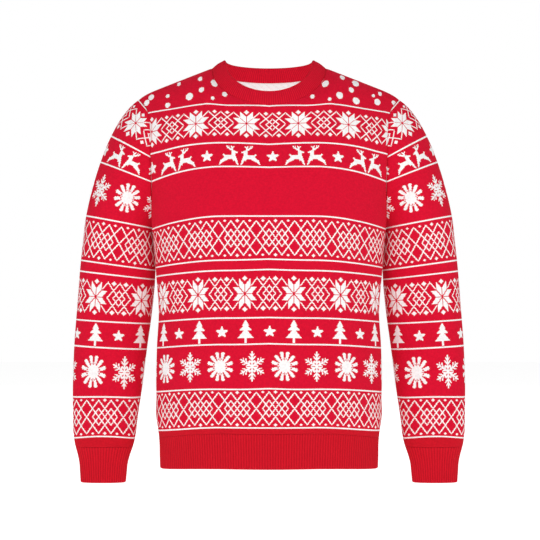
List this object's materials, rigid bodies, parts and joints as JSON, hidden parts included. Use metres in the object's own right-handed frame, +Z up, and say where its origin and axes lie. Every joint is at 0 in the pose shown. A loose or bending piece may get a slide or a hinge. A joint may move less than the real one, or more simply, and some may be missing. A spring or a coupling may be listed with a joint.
{
  "type": "christmas sweater",
  "caption": "Long-sleeved crew-neck knitted sweater in red and white with bands of stars, reindeer, lattice, fir trees and snowflakes; a hollow garment filled out as if worn.",
  "frame": {"origin": "midway between the two high shoulder points, at the neckband, where a wearer or a hanger carries the sweater", "axes": "+Z up the middle of the body, -Y out of the front, +X towards the wearer's left sleeve"},
  "size_m": [0.6716, 0.2439, 0.7178],
  "materials": {
    "red_knit": "matt jacquard knit, red and white",
    "red_rib": "matt red ribbed knit"
  },
  "bodies": {
    "root": {"front": "red_knit", "back": "red_knit", "front_welt": "red_rib", "back_welt": "red_rib", "neckband": "red_rib", "left_sleeve": "red_knit", "right_sleeve": "red_knit", "left_cuff": "red_rib", "right_cuff": "red_rib"}
  },
  "joints": []
}
